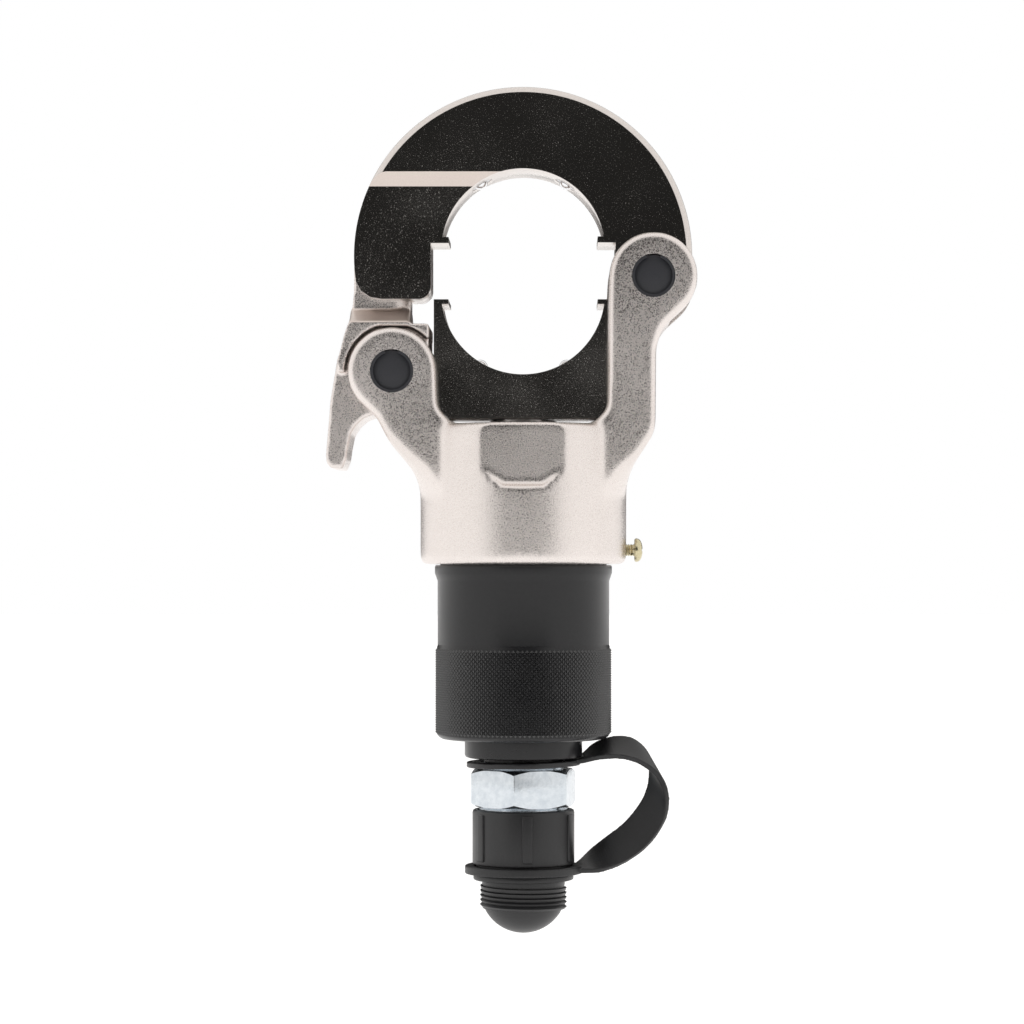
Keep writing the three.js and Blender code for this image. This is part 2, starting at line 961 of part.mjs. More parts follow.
piece(
  'strap_neck_eye',
  ring(14.2, EYE_R, -STRAP_T / 2, STRAP_T / 2, 32).rotateY(degrees(-1.2)).translate(0, 0, 30.5),
  BLACK_RUBBER,
);
piece('strap_band', strapBand(), BLACK_RUBBER);
piece('strap_cap_eye', ring(16.2, 19.5, -6, -3.4, 32), BLACK_RUBBER);

// ------------------------------------------------------------------- detents

const DETENTS = [
  ['ul', UPPER_ARC_Z, -DETENT_ANGLE],
  ['ur', UPPER_ARC_Z, DETENT_ANGLE],
  ['ll', LOWER_ARC_Z, 180 + DETENT_ANGLE],
  ['lr', LOWER_ARC_Z, 180 - DETENT_ANGLE],
];

const SLEEVE = [
  [2.32, 26.95],
  [SLEEVE_R, 26.95],
  [SLEEVE_R, 36],
  [2.7, 36],
  [2.7, 27.15],
  [2.32, 27.15],
];

for (const [side, arcZ, angle] of DETENTS) {
  piece(
    `detent_ball_${side}`,
    onRadius(new THREE.SphereGeometry(BALL_R, 12, 6).rotateX(Math.PI / 2).translate(0, 0, BALL_AT), arcZ, angle),
    CHROME,
  );
  piece(`detent_sleeve_${side}`, onRadius(turnedGeometry(SLEEVE, 14), arcZ, angle), STEEL);
  piece(`detent_spring_${side}`, onRadius(coil(1.8, 0.7, 30.5, 35.8, 3, 7, 4), arcZ, angle), SPRING_STEEL);
}

export default model;
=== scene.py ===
# %% [markdown]
# # A remote hydraulic crimping head
#
# This tool presses lugs onto cable. It has a forged nickel-plated fork, a C-jaw that flips open on a
# hinge, a sliding lower jaw, a latch, a black knurled cylinder, a zinc-plated hose coupler, and a dust
# cap on a rubber strap. The lesson builds what can be seen, piece by piece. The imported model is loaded
# first, because it holds the moving bodies that every piece rides on, and it sets the outer box.

# %% Load the frame
import json
import math

import bmesh
import bpy
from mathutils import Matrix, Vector


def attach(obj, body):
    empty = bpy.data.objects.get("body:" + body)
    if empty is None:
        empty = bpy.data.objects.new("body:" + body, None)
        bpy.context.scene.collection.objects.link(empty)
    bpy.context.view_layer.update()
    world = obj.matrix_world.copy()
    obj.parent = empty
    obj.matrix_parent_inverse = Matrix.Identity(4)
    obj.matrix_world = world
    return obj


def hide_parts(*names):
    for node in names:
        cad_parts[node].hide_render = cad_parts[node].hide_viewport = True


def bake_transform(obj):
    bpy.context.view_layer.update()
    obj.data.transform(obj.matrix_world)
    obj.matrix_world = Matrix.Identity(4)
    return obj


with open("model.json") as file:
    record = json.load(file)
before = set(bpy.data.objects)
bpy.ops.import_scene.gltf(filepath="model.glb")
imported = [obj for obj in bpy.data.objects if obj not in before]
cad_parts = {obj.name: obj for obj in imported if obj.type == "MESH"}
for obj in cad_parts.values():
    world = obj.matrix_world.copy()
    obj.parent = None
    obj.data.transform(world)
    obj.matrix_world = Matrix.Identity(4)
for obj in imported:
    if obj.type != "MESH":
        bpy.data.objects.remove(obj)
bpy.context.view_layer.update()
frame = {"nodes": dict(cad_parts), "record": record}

# %% [markdown]
# ## Tools for making solids
#
# Most pieces of this head were turned on a lathe, cut from plate, or forged. One helper spins a profile,
# one thickens an outline, and a few cut, join and soften solids. Sizes are in millimetres, as on a
# workshop drawing, and become metres when the mesh is made.

# %% Spin a profile
MM = 0.001


def mesh_piece(name, corners, faces):
    """Makes a closed mesh from corners in millimetres, with its faces turned outwards."""
    mesh = bpy.data.meshes.new(name)
    mesh.from_pydata([(x * MM, y * MM, z * MM) for x, y, z in corners], [], faces)
    bm = bmesh.new()
    bm.from_mesh(mesh)
    bmesh.ops.remove_doubles(bm, verts=bm.verts, dist=1e-7)
    bmesh.ops.recalc_face_normals(bm, faces=bm.faces)
    bm.to_mesh(mesh)
    bm.free()
    piece = bpy.data.objects.new(name, mesh)
    bpy.context.scene.collection.objects.link(piece)
    return piece


def turn(name, profile, axis="Z", at=(0, 0, 0), steps=96, start=0.0):
    """Spins (radius, height) points about an axis. Radius 0 closes an end, or else the profile is a loop."""
    corners, rings = [], []
    for r, h in profile:
        count = 1 if r == 0 else steps
        rings.append([len(corners) + k for k in range(count)])
        for k in range(count):
            angle = start + 2 * math.pi * k / steps
            c, s = r * math.cos(angle), r * math.sin(angle)
            point = {"Z": (c, s, h), "Y": (c, h, s), "X": (h, c, s)}[axis]
            corners.append(tuple(a + b for a, b in zip(point, at)))
    faces = []
    pairs = list(zip(rings, rings[1:]))
    if profile[0][0] != 0:
        pairs.append((rings[-1], rings[0]))
    elif profile[0][1] == profile[1][1]:  # a flat end is one face
        faces.append(rings[1])
        pairs.pop(0)
    if profile[0][0] == 0 and profile[-1][1] == profile[-2][1]:
        faces.append(rings[-2])
        pairs.pop()
    for low, high in pairs:
        for k in range(steps):
            low_pair = [low[k % len(low)], low[(k + 1) % len(low)]]
            high_pair = [high[(k + 1) % len(high)], high[k % len(high)]]
            face = list(dict.fromkeys(low_pair + high_pair))
            if len(face) > 2:
                faces.append(face)
    return mesh_piece(name, corners, faces)


def rod(name, r, low, high, axis="Z", at=(0, 0, 0), steps=96):
    return turn(name, [(0, low), (r, low), (r, high), (0, high)], axis, at, steps)


print("96 steps leave a 30 mm circle", round(30 * (1 - math.cos(math.pi / 96)), 3), "mm flat")


# %% Thicken an outline
def slab(name, outline, low, high, across="Y"):
    """Thickens an outline. Its points are (x, z) when it is thick across Y, and (y, z) across X."""
    place = {"Y": lambda u, v, w: (u, w, v), "X": lambda u, v, w: (w, u, v)}[across]
    n = len(outline)
    corners = [place(u, v, low) for u, v in outline] + [place(u, v, high) for u, v in outline]
    faces = [list(range(n)), list(range(2 * n - 1, n - 1, -1))]
    faces += [[k, (k + 1) % n, n + (k + 1) % n, n + k] for k in range(n)]
    return mesh_piece(name, corners, faces)


def block(x0, x1, y0, y1, z0, z1):
    return slab("block", [(x0, z0), (x1, z0), (x1, z1), (x0, z1)], y0, y1)


def arc(centre, r, first, last, steps=24):
    """Outline points on a circle, from one angle to another, in degrees."""
    turns = [math.radians(first + (last - first) * k / steps) for k in range(steps + 1)]
    return [(centre[0] + r * math.cos(t), centre[2] + r * math.sin(t)) for t in turns]


print("a quarter circle has", len(arc((0, 0, 0), 10, 0, 90)), "outline points")


# %% Cut, join and soften
def freeze(piece):
    """Turns the modifiers into plain mesh."""
    graph = bpy.context.evaluated_depsgraph_get()
    mesh = bpy.data.meshes.new_from_object(piece.evaluated_get(graph))
    old = piece.data
    piece.modifiers.clear()
    piece.data = mesh
    bpy.data.meshes.remove(old)


def carve(piece, *tools, how="DIFFERENCE", solver="EXACT"):
    for tool in tools:
        cut = piece.modifiers.new("cut", "BOOLEAN")
        cut.operation, cut.object, cut.solver = how, tool, solver
    freeze(piece)
    for tool in tools:
        bpy.data.objects.remove(tool)


def weld(piece, *others):
    carve(piece, *others, how="UNION")


def soften(piece, grid, passes):
    """Lays the mesh on an even net and relaxes it, which rounds every edge as a forging's are."""
    net = piece.modifiers.new("net", "REMESH")
    net.mode, net.voxel_size = "VOXEL", grid * MM
    relax = piece.modifiers.new("relax", "SMOOTH")
    relax.iterations, relax.factor = passes, 0.5
    freeze(piece)


def break_edges(piece, width, angle, segments=2):
    edge = piece.modifiers.new("edge", "BEVEL")
    edge.width, edge.segments = width * MM, segments
    edge.limit_method, edge.angle_limit = "ANGLE", math.radians(angle)
    edge.use_clamp_overlap = True
    freeze(piece)


print("helpers ready: carve, weld, soften, break_edges")


# %% Hand a piece to its body
def paint(piece, *materials):
    piece.data.materials.clear()
    for material in materials:
        piece.data.materials.append(material)


def hand_over(piece, body, slot, *nodes, sharp=32):
    """Shades a piece, lets it ride on its body, and hides the solids that it stands for."""
    piece.data.shade_smooth()
    piece.data.set_sharp_from_angle(angle=math.radians(sharp))
    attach(piece, body)
    if nodes:
        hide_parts(*nodes)
    print(piece.name, "rides on", body, "faces", len(piece.data.polygons))


print("helpers ready: paint, hand_over")


# %% [markdown]
# ## Finishes
#
# A plated forging is not one colour. It has a blasted grain under the plate, faint clouds of lighter and
# darker metal, and places that are a little duller. Each finish is a small node tree on Object
# coordinates: one noise for the clouds, one fine noise for the grain, and a bump from that grain. Where
# the metal is pitted, the grain also changes the roughness, so that a dark mirror shows light specks.

# %% Wire up nodes
def add(tree, kind, inputs=None, **settings):
    """Adds a node. inputs holds values or sockets to link, and settings are the node's own options."""
    node = tree.nodes.new(kind)
    for key, value in settings.items():
        setattr(node, key, value)
    for key, value in (inputs or {}).items():
        if isinstance(value, bpy.types.NodeSocket):
            tree.links.new(value, node.inputs[key])
        else:
            node.inputs[key].default_value = value
    return node


def reckon(tree, operation, *terms):
    return add(tree, "ShaderNodeMath", dict(enumerate(terms)), operation=operation).outputs[0]


def stretch(tree, source, low, high, to_low=0.0, to_high=1.0):
    limits = {"From Min": low, "From Max": high, "To Min": to_low, "To Max": to_high}
    return add(tree, "ShaderNodeMapRange", {"Value": source, **limits}).outputs["Result"]


print("helpers ready: add, reckon, stretch")


# %% Make a finish
GRAIN_SHARE = 0.45  # how much of the colour change is grain, and the rest is clouds
SMOOTHEST = 0.03
NOISE_LOW, NOISE_HIGH = 0.3, 0.7  # a noise hardly leaves this range


def finish(name, light, dark, metal, rough, grain, depth, cloud=35.0, spread=0.08, pits=None, gloss=0.5):
    """light and dark are the two colours, and rough plus or minus spread is the roughness. cloud and grain
    count the patches to a metre, and depth is the grain's height in metres. pits is (from, to, extra):
    where the grain rises from the first to the second, the roughness gains up to extra."""
    material = bpy.data.materials.new(name)
    material.use_nodes = True
    tree = material.node_tree
    tree.nodes.clear()
    place = add(tree, "ShaderNodeTexCoord").outputs["Object"]
    clouds = add(tree, "ShaderNodeTexNoise", {"Vector": place, "Scale": cloud, "Detail": 5}).outputs["Fac"]
    fine = add(tree, "ShaderNodeTexNoise", {"Vector": place, "Scale": grain, "Detail": 3}).outputs["Fac"]

    cloud_part = reckon(tree, "MULTIPLY", clouds, 1 - GRAIN_SHARE)
    grain_part = stretch(tree, fine, NOISE_LOW, NOISE_HIGH)
    tint = add(
        tree,
        "ShaderNodeMix",
        {
            "Factor": reckon(tree, "MULTIPLY_ADD", grain_part, GRAIN_SHARE, cloud_part),
            "A": (*dark, 1),
            "B": (*light, 1),
        },
        data_type="RGBA",
    )
    smoothest = max(SMOOTHEST, rough - spread)
    dullness = stretch(tree, clouds, NOISE_LOW, NOISE_HIGH, smoothest, rough + spread)
    if pits:
        low, high, extra = pits
        dullness = reckon(tree, "MULTIPLY_ADD", stretch(tree, fine, low, high), extra, dullness)
    bump = add(tree, "ShaderNodeBump", {"Height": fine, "Strength": 1.0, "Distance": depth})
    shader = add(
        tree,
        "ShaderNodeBsdfPrincipled",
        {
            "Base Color": tint.outputs["Result"],
            "Roughness": dullness,
            "Normal": bump.outputs["Normal"],
            "Metallic": metal,
            "Specular IOR Level": gloss,
        },
    )
    add(tree, "ShaderNodeOutputMaterial", {"Surface": shader.outputs["BSDF"]})
    print("finish", name)
    return material


# %% Plated and bare metals
METAL, COATING = 1.0, 0.0

CAST = finish(
    "blasted_nickel", (0.92, 0.86, 0.83), (0.62, 0.57, 0.54), METAL, rough=0.22, grain=2700,
    depth=0.00006, spread=0.04, pits=(0.38, 0.72, 0.26),
)
GROUND = finish(
    "ground_nickel", (0.56, 0.54, 0.51), (0.40, 0.38, 0.35), METAL, rough=0.12, grain=2700,
    depth=0.000006, spread=0.05, pits=(0.62, 0.75, 0.42),
)
RIM = finish(
    "jaw_rim", (0.76, 0.71, 0.68), (0.60, 0.56, 0.53), METAL, rough=0.27, grain=1500, depth=0.00004
)
RAMP = finish(
    "ramp_nickel", (0.72, 0.64, 0.59), (0.58, 0.51, 0.47), METAL, rough=0.32, grain=2600, depth=0.00001
)
ZINC = finish(
    "bright_zinc", (0.76, 0.80, 0.83), (0.50, 0.55, 0.60), METAL, rough=0.2, grain=500, depth=0.00003,
    cloud=120,
)
YELLOW = finish(
    "yellow_zinc", (0.72, 0.66, 0.46), (0.50, 0.44, 0.27), METAL, rough=0.28, grain=1200, depth=0.00001,
    cloud=300,
)
STEEL = finish(
    "bare_steel", (0.66, 0.66, 0.67), (0.48, 0.48, 0.50), METAL, rough=0.25, grain=1500, depth=0.00001
)
WIRE = finish(
    "spring_wire", (0.34, 0.35, 0.37), (0.20, 0.21, 0.23), METAL, rough=0.32, grain=1500, depth=0.00001
)
BRONZE = finish(
    "bearing_bronze", (0.62, 0.42, 0.20), (0.45, 0.29, 0.13), METAL, rough=0.34, grain=1500, depth=0.00001
)
CHROME = finish(
    "hard_chrome", (0.88, 0.89, 0.90), (0.76, 0.77, 0.79), METAL, rough=0.08, grain=800, depth=0.000004,
    spread=0.03,
)

# %% Black coatings, plastic and rubber
PIN = finish(
    "black_oxide", (0.030, 0.031, 0.037), (0.020, 0.021, 0.026), COATING, rough=0.5, grain=1800,
    depth=0.00003,
)
BARREL = finish(
    "black_barrel", (0.010, 0.010, 0.011), (0.006, 0.006, 0.007), COATING, rough=0.3, grain=900,
    depth=0.00001, spread=0.04, gloss=0.4,
)
KNURL = finish(
    "black_knurl", (0.020, 0.020, 0.021), (0.010, 0.010, 0.011), COATING, rough=0.3, grain=2200,
    depth=0.00002, gloss=0.9,
)
PLASTIC = finish(
    "cap_moulding", (0.016, 0.016, 0.017), (0.010, 0.010, 0.011), COATING, rough=0.4, grain=1600,
    depth=0.00002, spread=0.06,
)
RUBBER = finish(
    "strap_rubber", (0.015, 0.015, 0.016), (0.009, 0.009, 0.010), COATING, rough=0.45, grain=1900,
    depth=0.00003,
)
PTFE = finish(
    "white_ptfe", (0.84, 0.82, 0.78), (0.72, 0.70, 0.66), COATING, rough=0.5, grain=1500, depth=0.00001
)

# %% [markdown]
# ## The solids that stay
#
# Some solids sit inside the head or hardly show: the ram, the seals, the clips and the latch's spring
# are among them. They already have the right shape, so they stay, and each takes the finish of its
# material. The solids that a piece replaces further on are painted too, though they are hidden.

# %% Paint the solids
BY_SLOT = {
    "spring_steel": WIRE,
    "black_rubber": RUBBER,
    "white_ptfe": PTFE,
    "bearing_bronze": BRONZE,
    "hard_chrome": CHROME,
    "black_steel": PIN,
    "bare_steel": STEEL,
    "cast_nickel": CAST,
    "ground_nickel": GROUND,
    "black_barrel": BARREL,
    "bright_zinc": ZINC,
    "yellow_zinc": YELLOW,
    "black_plastic": PLASTIC,
}
slot_of = {row["node"]: row["material_slot"] for row in frame["record"]["subparts"]}
for node_name, solid in frame["nodes"].items():
    paint(solid, BY_SLOT[slot_of[node_name]])
for pivot in ("hinge", "latch"):
    for end in ("front", "rear"):
        paint(frame["nodes"][f"{pivot}_clip_{end}"], PIN)  # the clips are blacked like the pins they hold
print("painted", len(frame["nodes"]), "solids")

# %% [markdown]
# ## The forged fork
#
# The fork is one forging: a round collar that screws onto the cylinder, and two arms that end in ears.
# A forging has no sharp edge outside, but its slot and bores are machined and crisp. So the outside is
# joined first, laid on an even net and relaxed, and the slot and the bores are cut afterwards.

# %% Draw the two arms
HINGE = (42.8, 0, 191.2)
LATCH = (-42.8, 0, 160.0)
EAR_R, EAR_Y = 14.5, 22.0
FLOOR = 143.0  # where the slot between the arms ends
COLLAR_R, COLLAR_LOW = 34.3, 96.8

left_arm = [(-34.3, 112), (-34.5, 123), (-35.8, 126.8), (-38.8, 130.8), (-43.8, 136.8), (-47.8, 144.8)]
left_ear = arc(LATCH, EAR_R, 226.8, 0, 36)
saddle = [(-27.9, 152), (-27.7, 148), (-23, FLOOR), (23, FLOOR), (27.7, 148), (27.9, 183)]
right_ear = arc(HINGE, EAR_R, 180, -44.3, 36)
right_arm = [(47.5, 176), (45.5, 173.2), (43.7, 168), (43.5, 142), (42.5, 138.8), (39.9, 134.8)]
right_arm += [(37.2, 130.8), (35.2, 126.8), (34.3, 123), (34.3, 112)]
arms = slab("fork", left_arm + left_ear + saddle + right_ear + right_arm, -EAR_Y, EAR_Y)
shed_side = [(33, 112), (34.2, 120), (38.5, 127), (44.5, 133), (49.6, 139), (76, 160), (76, 212)]
carve(arms, turn("shed", [(0, 112), *shed_side, (0, 212)]), how="INTERSECT")
print("arms", len(arms.data.polygons), "faces")

# %% Forge them onto the collar
FORK_NET = 0.73
PAD_Y = 31.5  # half the depth over the two flat pads

fork = rod("yoke_forging", COLLAR_R, COLLAR_LOW, FLOOR, steps=128)
weld(fork, arms)
soften(fork, FORK_NET, 34)
pad = [(-20, 150), (-20, 127.4), (-13.2, 127.4), (-6.4, 122.4)]
pad += [(6.8, 122.4), (13.6, 127.4), (20, 127.4), (20, 150)]
for low, high in ((-40, -PAD_Y), (PAD_Y, 40)):
    carve(fork, slab("pad", pad, low, high), solver="MANIFOLD")
soften(fork, FORK_NET, 10)
print("forging", len(fork.data.polygons), "faces")

# %% Machine the slot and the bores
SLOT_Y = 13.3
SWING_R = 15.5  # room for a lug to swing round its pin
BORE_R = 7.1
SCREW_Z = 101.5

cylinder_bore = [(0, 90), (29, 90), (29, 97), (28, 98), (28, 124), (14.3, 124), (14.3, 150), (0, 150)]
fork_cuts = [
    block(-29.8, 29.8, -SLOT_Y, SLOT_Y, FLOOR - 0.2, 220),
    rod("swing", SWING_R, -SLOT_Y, SLOT_Y, "Y", HINGE),
    rod("swing", SWING_R, -SLOT_Y, SLOT_Y, "Y", LATCH),
    block(-70, -39.5, -SLOT_Y, SLOT_Y, 139.5, 160),
    turn("bore", cylinder_bore),
    rod("screw_hole", 2.3, 20, 40, "X", (0, 0, SCREW_Z), 32),
    rod("ear_bore", BORE_R, -30, 30, "Y", HINGE),
    rod("ear_bore", BORE_R, -30, 30, "Y", LATCH),
]
for tool in fork_cuts:
    carve(fork, tool, solver="MANIFOLD")
paint(fork, CAST)
hand_over(fork, "yoke", "cast_nickel", "yoke_body", sharp=40)

# %% [markdown]
# ## The jaws
#
# Both jaws are ground flat on the faces, so they show as dark mirrors from the front, and their rims
# keep the brighter plate. Each is cut from a spun disc or a slab, with the die seat, the lips and the
# bores taken out, and then every edge is broken by a small bevel. Each ground face is bounded by sharp
# edges, because smooth shading would bend its reflections near the bevels.

# %% Ground faces and bright rims
FACING = 0.97  # a face that looks this straight along Y is a ground one
BROKEN = 0.35


def grind(piece):
    break_edges(piece, BROKEN, angle=38)
    paint(piece, GROUND, RIM)
    for polygon in piece.data.polygons:
        polygon.material_index = 0 if abs(polygon.normal.y) > FACING else 1


def crisp_faces(piece):
    """Marks the edges between two finishes sharp, so that each ground face shades flat."""
    bm = bmesh.new()
    bm.from_mesh(piece.data)
    for edge in bm.edges:
        if len({face.material_index for face in edge.link_faces}) > 1:
            edge.smooth = False
    bm.to_mesh(piece.data)
    bm.free()


print("ground faces lie within", round(math.degrees(math.acos(FACING)), 1), "degrees of square to Y")


# %% [markdown]
# ## Where the detents sit
#
# Each die seat has two small spring-loaded balls that hold a die. Their bores stand square to the seat's
# arc, so each is named by its seat and an angle. The bore is drawn upright on the Z axis and then swung
# into place, and later the springs are swung in the same way.

# %% Places of the four detents
UPPER_SEAT = (0, 0, 200.2)
LOWER_SEAT = (0, 0, 186.4)
SEAT_R = 27.0
DETENTS = {"ul": (UPPER_SEAT, -31), "ur": (UPPER_SEAT, 31), "ll": (LOWER_SEAT, 211), "lr": (LOWER_SEAT, 149)}


def swing(points, seat, angle):
    """Turns points that stand on the Z axis to a detent's angle, round the middle of its seat."""
    a = math.radians(angle)
    for p in points:
        x, z = p.x, p.z
        p.x = x * math.cos(a) + z * math.sin(a)
        p.z = -x * math.sin(a) + z * math.cos(a) + seat[2] * MM


def detent_bore(name):
    tool = rod("detent", 3.8, 25, 36.4, steps=40)
    swing([vertex.co for vertex in tool.data.vertices], *DETENTS[name])
    return tool


print("detents at", {name: angle for name, (seat, angle) in DETENTS.items()})

# %% Spin the C-jaw and its lug
JAW_Y = 13.0
JAW_R = 55.8
LUG_R = 13.2


def cheese(name, r, edge_r, edge_y, angles, at, steps):
    """A disc across Y with rounded edges. angles run from the flat face to the rim."""
    edge = [(r - edge_r + edge_r * math.sin(t), JAW_Y - edge_y + edge_y * math.cos(t)) for t in angles]
    near = [(radius, -y) for radius, y in edge]
    return turn(name, [(0, -JAW_Y), *near, *reversed(edge), (0, JAW_Y)], "Y", at, steps)


jaw = cheese("c_jaw", JAW_R, 2.8, 2, (0, 0.32, 0.63, 0.94, 1.25, 1.57), (0, 0, 198.5), 180)
keep = [(-80, 198), (-56.2, 196), (-55.4, 190.5), (-53.4, 187), (-50.4, 185), (-46.8, 184.4)]
keep += arc((-34.5, 0, 188.4), 4, 270, 360, 8)
keep += [(-30.5, 202.8), (30.5, 202.8), (30.5, 191.2), (80, 191.2), (80, 270), (-80, 270)]
carve(jaw, slab("keep", keep, -20, 20), how="INTERSECT")
lug = cheese("lug", LUG_R, 1.2, 1.2, (0, 0.5, 1.05, 1.57), HINGE, 96)
carve(lug, block(20, 30.5, -20, 20, 170, 202.8))
weld(jaw, lug)
print("C-jaw blank", len(jaw.data.polygons), "faces")

# %% Cut the C-jaw's seat, tongue and bores
SEAT_X = 24.6  # half the width between the lips
LIP_ANGLE = 9.81
TONGUE_SLOT = 7.3

seat = [(-SEAT_X, 190), (-SEAT_X, 204.8), *arc(UPPER_SEAT, SEAT_R, 180 - LIP_ANGLE, LIP_ANGLE, 90)]
seat += [(SEAT_X, 204.8), (SEAT_X, 190)]
jaw_cuts = [slab("seat", seat, -20, 20)]
for side in (-1, 1):
    thin = [(11, 170), (20, 170), (20, 226.2), (13, 226.2), (11, 221.5)]
    jaw_cuts.append(slab("thin", [(side * y, z) for y, z in thin], -70, -4, across="X"))
jaw_cuts += [
    block(-70, -43.6, -TONGUE_SLOT, TONGUE_SLOT, 180, 206),
    rod("slot_end", TONGUE_SLOT, 180, 206, "Z", (-43.6, 0, 0), 48),
    rod("lug_bore", BORE_R, -20, 20, "Y", HINGE),
    detent_bore("ur"),
    detent_bore("ul"),
]
for tool in jaw_cuts:
    carve(jaw, tool)
grind(jaw)
jaw.data.materials.append(RAMP)
for polygon in jaw.data.polygons:
    if 0.85 < abs(polygon.normal.y) < FACING and polygon.area > 20 * MM * MM:
        polygon.material_index = 2  # the ramp down to the tongue
hand_over(jaw, "upper_jaw", "ground_nickel", "upper_jaw")
crisp_faces(jaw)

# %% [markdown]
# ## The sliding lower jaw
#
# The lower jaw slides in the fork's slot on the end of the rod. It is a slab with the same die seat,
# turned over, and its lower corners are bevelled to clear the floor of the slot. Two holes up its middle
# take the rod and the screw that holds the jaw to it.

# %% Cut the lower jaw
lower = [(-24.4, 144.9), (24.4, 144.9), (29.4, 149.9), (29.4, 184.1), (SEAT_X, 184.1), (SEAT_X, 182.5)]
lower += arc(LOWER_SEAT, SEAT_R, -8.3, -171.7, 90)
lower += [(-SEAT_X, 182.5), (-SEAT_X, 184.1), (-29.4, 184.1), (-29.4, 149.9)]
saddle_jaw = slab("die_saddle", lower, -JAW_Y, JAW_Y)
carve(saddle_jaw, rod("rod_hole", 4.3, 140, 170, steps=40))
carve(saddle_jaw, rod("screw_seat", 6.9, 150.3, 170, steps=48))
carve(saddle_jaw, detent_bore("lr"))
carve(saddle_jaw, detent_bore("ll"))
grind(saddle_jaw)
hand_over(saddle_jaw, "ram", "ground_nickel", "lower_jaw")
crisp_faces(saddle_jaw)

# %% [markdown]
# ## The latch
#
# The latch hangs on the left-hand pin. It is a forging too: a shoulder that spreads over the ears, a
# thin blade that rises into the slot of the C-jaw, and a tail that a finger pulls. The join from the
# shoulder to the blade is a ground ramp, which shows as a brighter band.

# %% Join the latch's four parts
CORE_Y, SHOULDER_Y, BLADE_Y = 12.7, 16.5, 7.0

top = [(-30.8, 175.9), (-57.4, 176), (-58.6, 172.8), (-60.1, 166.8)]
outline = top + [(-61.5, 162.8), (-62.5, 156.8), (-63.5, 150.8), (-64.1, 143.2), (-65, 132.8)]
outline += [(-64.8, 130.4), (-63.4, 128.5), (-59.5, 128.2), (-58.3, 131.2), (-57.8, 134.8)]
outline += [(-56.8, 139.8), (-54.8, 142.8), (-52.5, 144.8), (-49.1, 146.2)]
outline += arc(LATCH, 13, -103, -30, 16) + [(-30.8, 162)]
latch = slab("latch_forging", outline, -CORE_Y, CORE_Y)
shoulder = slab("shoulder", [(-30.8, 160), *top, (-61.2, 163.4), (-60.6, 160)], -SHOULDER_Y, SHOULDER_Y)
for low, high in ((CORE_Y, 20), (-20, -CORE_Y)):
    carve(shoulder, rod("clear", 15.8, low, high, "Y", LATCH))
ramp_side = [(-SHOULDER_Y, 175), (SHOULDER_Y, 175), (SHOULDER_Y, 176.6), (BLADE_Y, 181)]
ramp_side += [(-BLADE_Y, 181), (-SHOULDER_Y, 176.6)]
ramp = slab("ramp", ramp_side, -57.2, -37.2, "X")
blade_outline = [(-44, 172), (-44, 203), (-56, 203), (-56.1, 186.8), (-57, 178.8), (-57.3, 172)]
blade = slab("blade", blade_outline, -BLADE_Y, BLADE_Y)
weld(blade, rod("edge", BLADE_Y, 172, 203, "Z", (-44, 0, 0), 48))
for part in (shoulder, ramp, blade):
    weld(latch, part)
print("latch blank", len(latch.data.polygons), "faces")

# %% Soften, bore and finish the latch
soften(latch, 0.53, 7)
carve(latch, rod("latch_bore", BORE_R, -20, 20, "Y", LATCH), solver="MANIFOLD")
carve(latch, rod("spring_seat", 10.6, 8.2, 20, "Y", LATCH), solver="MANIFOLD")
paint(latch, CAST, RAMP)
for polygon in latch.data.polygons:
    c = polygon.center / MM
    on_ramp = 176.2 < c.z < 181.6 and abs(c.y) > 6.5 and c.x < -37
    polygon.material_index = 1 if on_ramp else 0
hand_over(latch, "latch", "cast_nickel", "latch_lever", sharp=40)

# %% [markdown]
# ## Pins, balls and the lock screw
#
# The two pins are turned steel with a small chamfer. The detent balls are plain bearing balls. The lock
# screw is a pan-head machine screw with a cross recess, and it stands proud of the collar. All of them
# are round, so each is one spun profile, and the recess is two crossed slots.

# %% Turn the pins
pin_end = [(6.97, 19.9), (6.75, 20.3), (6.3, 20.5), (0, 20.5)]
pin_profile = [(r, -y) for r, y in reversed(pin_end)] + pin_end
for name, pivot in (("hinge_pin", HINGE), ("latch_pin", LATCH)):
    pin = turn(name + "_turned", pin_profile, "Y", pivot)
    paint(pin, PIN)
    hand_over(pin, "yoke", "black_steel", name)

# %% Set the detent balls
BALL_R, BALL_REACH, BALL_STEPS = 2.4, 27.8, 20

for side, (seat_middle, angle) in DETENTS.items():
    a = math.radians(angle)
    centre = (BALL_REACH * math.sin(a), 0, seat_middle[2] + BALL_REACH * math.cos(a))
    bows = [math.pi * k / BALL_STEPS for k in range(1, BALL_STEPS)]
    half = [(BALL_R * math.sin(t), -BALL_R * math.cos(t)) for t in bows]
    ball = turn("ball_" + side, [(0, -BALL_R), *half, (0, BALL_R)], "Z", centre, 32)
    paint(ball, CHROME)
    hand_over(ball, "ball_" + side, "hard_chrome", "detent_ball_" + side, sharp=60)

# %% Drive in the lock screw
CREST, ROOT, SCREW_PITCH = 2.0, 1.75, 0.8

